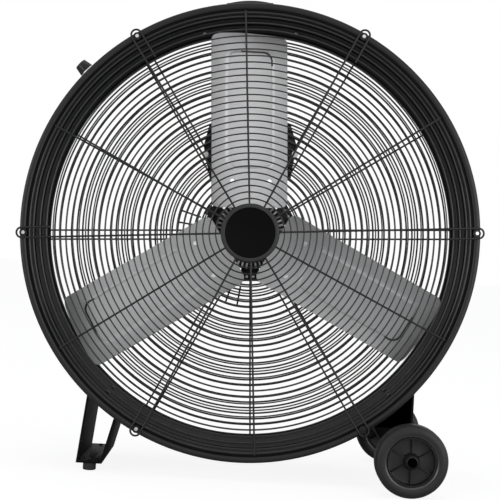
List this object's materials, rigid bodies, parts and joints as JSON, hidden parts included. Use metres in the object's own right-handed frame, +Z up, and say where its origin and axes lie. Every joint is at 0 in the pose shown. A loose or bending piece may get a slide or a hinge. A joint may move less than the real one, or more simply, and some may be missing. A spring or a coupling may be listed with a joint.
{
  "type": "drum fan",
  "caption": "Large round drum fan with wire guards and paddle blades, on a folded foot and two wheels, with a speed knob and a carrying handle.",
  "frame": {"origin": "on the floor, under the middle of the drum", "axes": "+X to the wheels, the right as seen from the front; +Y to the back, where the air comes in; +Z up. The air leaves towards -Y."},
  "size_m": [0.65, 0.3096, 0.6918],
  "materials": {
    "frame_paint": "satin black powder coat",
    "guard_wire": "gloss black powder coat",
    "bright_steel": "zinc plated",
    "badge_paint": "gloss black, grey rim",
    "blade_metal": "satin",
    "hub_paint": "satin dark grey",
    "motor_paint": "satin black",
    "machined_steel": "turned",
    "core_steel": "laminated",
    "box_plastic": "fine grain",
    "knob_plastic": "fine grain",
    "rubber": "matt",
    "tyre_rubber": "matt",
    "wheel_plastic": "fine grain"
  },
  "bodies": {
    "fan_frame": {"drum_shell": "frame_paint", "foot_bracket": "frame_paint", "wheel_bracket": "frame_paint", "handle_bar": "frame_paint", "front_guard_rings": "guard_wire", "front_guard_spokes": "guard_wire", "rear_guard_rings": "guard_wire", "rear_guard_spokes": "guard_wire", "front_guard_screws": "bright_steel", "rear_guard_screws": "bright_steel", "mount_bolts": "bright_steel", "motor_bolts": "bright_steel", "wiring_screws": "bright_steel", "foot_screws": "bright_steel", "handle_bolts": "bright_steel", "foot_bracket_bolts": "bright_steel", "wheel_bracket_bolts": "bright_steel", "badge": "badge_paint", "motor_mount": "hub_paint", "motor_shell": "motor_paint", "motor_front_cap": "motor_paint", "shaft_bearings": "machined_steel", "axle": "machined_steel", "axle_spacers": "machined_steel", "motor_stator": "core_steel", "wiring_base": "box_plastic", "wiring_cover": "box_plastic", "switch_box": "box_plastic", "switch_lid": "box_plastic", "rotary_switch": "box_plastic", "cord_gland": "box_plastic", "foot_pads": "rubber", "handle_grip": "rubber", "axle_caps": "wheel_plastic"},
    "fan_rotor": {"motor_shaft": "machined_steel", "motor_rotor": "core_steel", "blade_hub": "hub_paint", "hub_nut": "bright_steel", "blade_top": "blade_metal", "blade_left": "blade_metal", "blade_right": "blade_metal", "blade_rivets": "bright_steel"},
    "wheel_front": {"front_tyre": "tyre_rubber", "front_wheel": "wheel_plastic"},
    "wheel_rear": {"rear_tyre": "tyre_rubber", "rear_wheel": "wheel_plastic"},
    "knob": {"speed_knob": "knob_plastic", "switch_spindle": "machined_steel"}
  },
  "joints": [
    {"name": "fan_spin", "type": "hinge", "parent": "fan_frame", "child": "fan_rotor", "pos_m": [0, 0, 0.346], "axis": [0, 1, 0], "continuous": true},
    {"name": "front_wheel_spin", "type": "hinge", "parent": "fan_frame", "child": "wheel_front", "pos_m": [0.234, -0.137, 0.0495], "axis": [0, 1, 0], "continuous": true},
    {"name": "rear_wheel_spin", "type": "hinge", "parent": "fan_frame", "child": "wheel_rear", "pos_m": [0.234, 0.137, 0.0495], "axis": [0, 1, 0], "continuous": true},
    {"name": "knob_turn", "type": "hinge", "parent": "fan_frame", "child": "knob", "pos_m": [-0.24696, 0, 0.56759], "axis": [0.7443, 0, -0.6678], "range_deg": [0, 135]}
  ]
}
